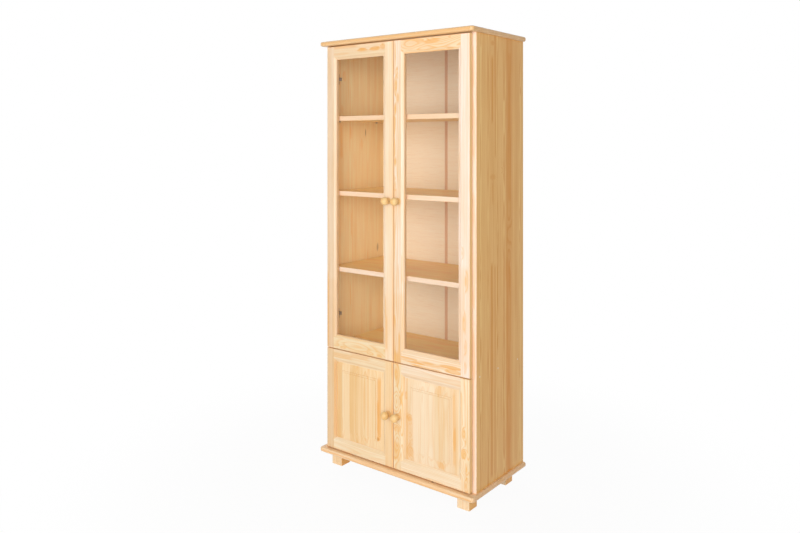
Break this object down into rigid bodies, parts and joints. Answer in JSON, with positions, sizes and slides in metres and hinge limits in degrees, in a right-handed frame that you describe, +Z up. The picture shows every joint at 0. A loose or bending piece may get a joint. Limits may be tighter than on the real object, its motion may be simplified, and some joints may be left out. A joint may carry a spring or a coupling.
{
  "type": "bookcase with glass doors",
  "caption": "Tall pine bookcase with glazed upper doors, panelled lower doors, ball knobs, loose shelves, and an overhanging top and base on square block feet.",
  "frame": {"origin": "on the floor, in the middle of the whole outline, knobs included", "axes": "+X to the right of someone facing the doors, +Y towards the back, +Z up; the doors face -Y"},
  "size_m": [0.8, 0.436, 1.865],
  "materials": {
    "carcass_pine": "clear satin lacquer",
    "door_pine": "clear satin lacquer",
    "panel_pine": "clear satin lacquer",
    "turned_pine": "clear satin lacquer",
    "beech_dowel": "bare",
    "screw_cap": "clear satin lacquer",
    "back_board": "thin lacquered board",
    "joining_strip": "matt",
    "clear_glass": "clear",
    "zinc_steel": "zinc plated",
    "hinge_steel": "nickel plated"
  },
  "bodies": {
    "carcass": {"back_joining_strip": "joining_strip", "back_nails": "zinc_steel", "back_panel_left": "back_board", "back_panel_right": "back_board", "base_board": "carcass_pine", "bottom_shelf": "carcass_pine", "carcass_dowels": "beech_dowel", "fixed_shelf": "carcass_pine", "fixed_shelf_screws": "zinc_steel", "foot_back_left": "carcass_pine", "foot_back_right": "carcass_pine", "foot_front_left": "carcass_pine", "foot_front_right": "carcass_pine", "foot_screws": "zinc_steel", "hinge_arms": "hinge_steel", "left_side": "carcass_pine", "middle_shelf": "carcass_pine", "right_side": "carcass_pine", "screw_caps": "screw_cap", "shelf_pins": "zinc_steel", "top_board": "carcass_pine", "top_shelf": "carcass_pine"},
    "upper_left_links": {"upper_left_hinge_links": "hinge_steel"},
    "upper_left_door": {"upper_left_bottom_rail": "door_pine", "upper_left_glass": "clear_glass", "upper_left_glazing_beads": "door_pine", "upper_left_hinge_cups": "hinge_steel", "upper_left_hinge_stile": "door_pine", "upper_left_knob": "turned_pine", "upper_left_knob_screw": "zinc_steel", "upper_left_meeting_stile": "door_pine", "upper_left_top_rail": "door_pine"},
    "upper_right_links": {"upper_right_hinge_links": "hinge_steel"},
    "upper_right_door": {"upper_right_bottom_rail": "door_pine", "upper_right_glass": "clear_glass", "upper_right_glazing_beads": "door_pine", "upper_right_hinge_cups": "hinge_steel", "upper_right_hinge_stile": "door_pine", "upper_right_knob": "turned_pine", "upper_right_knob_screw": "zinc_steel", "upper_right_meeting_stile": "door_pine", "upper_right_top_rail": "door_pine"},
    "lower_left_links": {"lower_left_hinge_links": "hinge_steel"},
    "lower_left_door": {"lower_left_bottom_rail": "door_pine", "lower_left_hinge_cups": "hinge_steel", "lower_left_hinge_stile": "door_pine", "lower_left_knob": "turned_pine", "lower_left_knob_screw": "zinc_steel", "lower_left_meeting_stile": "door_pine", "lower_left_panel": "panel_pine", "lower_left_top_rail": "door_pine"},
    "lower_right_links": {"lower_right_hinge_links": "hinge_steel"},
    "lower_right_door": {"lower_right_bottom_rail": "door_pine", "lower_right_hinge_cups": "hinge_steel", "lower_right_hinge_stile": "door_pine", "lower_right_knob": "turned_pine", "lower_right_knob_screw": "zinc_steel", "lower_right_meeting_stile": "door_pine", "lower_right_panel": "panel_pine", "lower_right_top_rail": "door_pine"}
  },
  "joints": [
    {"name": "upper_left_link_turn", "type": "hinge", "parent": "carcass", "child": "upper_left_links", "pos_m": [-0.3465, -0.1565, 1.17925], "axis": [0, 0, 1], "range_deg": [0, 43]},
    {"name": "upper_left_door_swing", "type": "hinge", "parent": "upper_left_links", "child": "upper_left_door", "pos_m": [-0.36, -0.159, 1.17925], "axis": [0, 0, -1], "range_deg": [0, 137.75]},
    {"name": "upper_right_link_turn", "type": "hinge", "parent": "carcass", "child": "upper_right_links", "pos_m": [0.3465, -0.1565, 1.17925], "axis": [0, 0, -1], "range_deg": [0, 43]},
    {"name": "upper_right_door_swing", "type": "hinge", "parent": "upper_right_links", "child": "upper_right_door", "pos_m": [0.36, -0.159, 1.17925], "axis": [0, 0, 1], "range_deg": [0, 137.75]},
    {"name": "lower_left_link_turn", "type": "hinge", "parent": "carcass", "child": "lower_left_links", "pos_m": [-0.3465, -0.1565, 0.29625], "axis": [0, 0, 1], "range_deg": [0, 43]},
    {"name": "lower_left_door_swing", "type": "hinge", "parent": "lower_left_links", "child": "lower_left_door", "pos_m": [-0.36, -0.159, 0.29625], "axis": [0, 0, -1], "range_deg": [0, 137.75]},
    {"name": "lower_right_link_turn", "type": "hinge", "parent": "carcass", "child": "lower_right_links", "pos_m": [0.3465, -0.1565, 0.29625], "axis": [0, 0, -1], "range_deg": [0, 43]},
    {"name": "lower_right_door_swing", "type": "hinge", "parent": "lower_right_links", "child": "lower_right_door", "pos_m": [0.36, -0.159, 0.29625], "axis": [0, 0, 1], "range_deg": [0, 137.75]}
  ],
  "couplings": [
    {"joint": "upper_left_link_turn", "follows": "upper_left_door_swing", "ratio": 0.31034},
    {"joint": "upper_right_link_turn", "follows": "upper_right_door_swing", "ratio": 0.31034},
    {"joint": "lower_left_link_turn", "follows": "lower_left_door_swing", "ratio": 0.31034},
    {"joint": "lower_right_link_turn", "follows": "lower_right_door_swing", "ratio": 0.31034}
  ]
}
